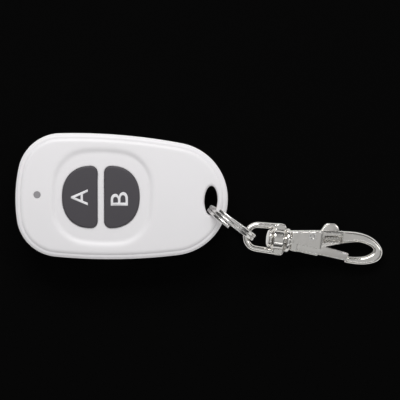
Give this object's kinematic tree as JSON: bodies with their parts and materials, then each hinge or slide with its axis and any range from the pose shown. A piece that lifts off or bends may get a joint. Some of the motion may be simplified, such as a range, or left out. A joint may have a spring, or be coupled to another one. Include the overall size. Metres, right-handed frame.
{
  "type": "alarm key fob with swivel snap hook",
  "caption": "Rounded plastic remote key fob with a dished button area, D-shaped keys, an indicator light and a slot for a split ring, carrying a swivel snap hook",
  "frame": {"origin": "on the flat back of the fob, halfway along the shell and on its centre line", "axes": "X runs along the fob from the indicator end to the key-ring end and the hook; Y runs across it; Z points out of the front with the keys"},
  "size_m": [0.1009, 0.0342, 0.0149],
  "materials": {
    "shell_plastic": "off-white satin ABS",
    "key_plastic": "dark grey matte",
    "light_pipe": "translucent grey, smooth",
    "led_body": "white body with a clear dome",
    "board_laminate": "green glass-fibre laminate with solder mask",
    "switch_body": "black moulded",
    "switch_plunger": "natural moulded",
    "cell_steel": "nickel-plated steel",
    "contact_metal": "spring bronze",
    "chip_epoxy": "black epoxy",
    "antenna_copper": "tinned copper wire",
    "screw_steel": "zinc-plated",
    "nickel_wire": "bright nickel over steel wire",
    "nickel_cast": "bright nickel over a zinc casting",
    "spring_steel": "spring steel wire"
  },
  "bodies": {
    "housing": {"rear_housing": "shell_plastic", "front_cover": "shell_plastic", "led_window": "light_pipe", "led_chip": "led_body", "circuit_board": "board_laminate", "switch_a_base": "switch_body", "switch_b_base": "switch_body", "battery": "cell_steel", "battery_positive_clip": "contact_metal", "battery_negative_contact": "contact_metal", "encoder_chip": "chip_epoxy", "resonator": "cell_steel", "chip_parts": "chip_epoxy", "antenna_loop": "antenna_copper", "housing_screws": "screw_steel"},
    "key_a": {"key_a": "key_plastic"},
    "key_b": {"key_b": "key_plastic"},
    "plunger_a": {"switch_a_plunger": "switch_plunger"},
    "plunger_b": {"switch_b_plunger": "switch_plunger"},
    "ring": {"split_ring": "nickel_wire"},
    "shackle": {"shackle": "nickel_cast"},
    "hook": {"hook_body": "nickel_cast", "pivot_pin": "nickel_wire", "gate_spring": "spring_steel"},
    "gate": {"gate_lever": "nickel_cast"}
  },
  "joints": [
    {"name": "key_a_press", "type": "slide", "parent": "housing", "child": "key_a", "axis": [0, 0, -1], "range_m": [0, 0.0003], "stiffness_N_per_m": 3000},
    {"name": "key_b_press", "type": "slide", "parent": "housing", "child": "key_b", "axis": [0, 0, -1], "range_m": [0, 0.0003], "stiffness_N_per_m": 3000},
    {"name": "switch_a_press", "type": "slide", "parent": "housing", "child": "plunger_a", "axis": [0, 0, -1], "range_m": [0, 0.0003]},
    {"name": "switch_b_press", "type": "slide", "parent": "housing", "child": "plunger_b", "axis": [0, 0, -1], "range_m": [0, 0.0003]},
    {"name": "ring_swing", "type": "hinge", "parent": "housing", "child": "ring", "pos_m": [0.02453, -0.00218, 0.00745], "axis": [0, 0, 1], "range_deg": [-20, 7]},
    {"name": "shackle_swing", "type": "hinge", "parent": "ring", "child": "shackle", "pos_m": [0.03593, -0.00987, 0.00745], "axis": [0, 0, 1], "range_deg": [-50, 60]},
    {"name": "hook_swivel", "type": "hinge", "parent": "shackle", "child": "hook", "pos_m": [0.03357, -0.00927, 0.00758], "axis": [0.9822, -0.0894, -0.1653], "continuous": true},
    {"name": "gate_open", "type": "hinge", "parent": "hook", "child": "gate", "pos_m": [0.05214, -0.00902, 0.00448], "axis": [0.1646, -0.015, 0.9862], "range_deg": [0, 13], "stiffness_Nm_per_rad": 0.02, "springref_deg": -17.19, "deforming": ["gate_spring"]}
  ],
  "couplings": [
    {"joint": "switch_a_press", "follows": "key_a_press", "ratio": 1},
    {"joint": "switch_b_press", "follows": "key_b_press", "ratio": 1}
  ]
}
